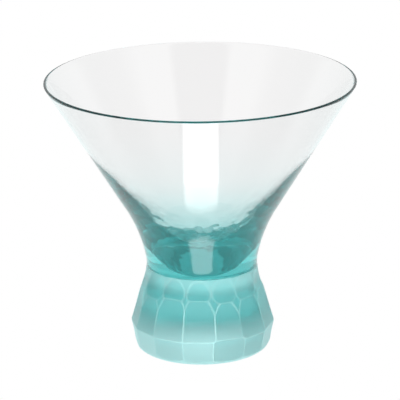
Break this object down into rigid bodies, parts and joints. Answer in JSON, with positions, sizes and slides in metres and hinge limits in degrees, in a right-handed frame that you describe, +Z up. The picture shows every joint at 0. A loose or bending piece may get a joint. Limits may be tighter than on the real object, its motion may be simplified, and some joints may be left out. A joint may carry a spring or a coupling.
{
  "type": "martini glass",
  "caption": "Stemless martini glass: thin polished conical bowl with a thick clear bottom, waisted into a heavy solid foot ground in frosted hollow facets.",
  "frame": {"origin": "centre of the base, on the surface the glass stands on", "axes": "+Z up along the axis of the bowl, towards the mouth; -Y towards the front; +X to the right of a viewer in front"},
  "size_m": [0.12, 0.12, 0.1077],
  "materials": {
    "polished_glass": "polished, clear aqua tint",
    "frosted_glass": "ground matte, frosted, aqua tint"
  },
  "bodies": {
    "root": {"bowl": "polished_glass", "foot": "frosted_glass"}
  },
  "joints": []
}
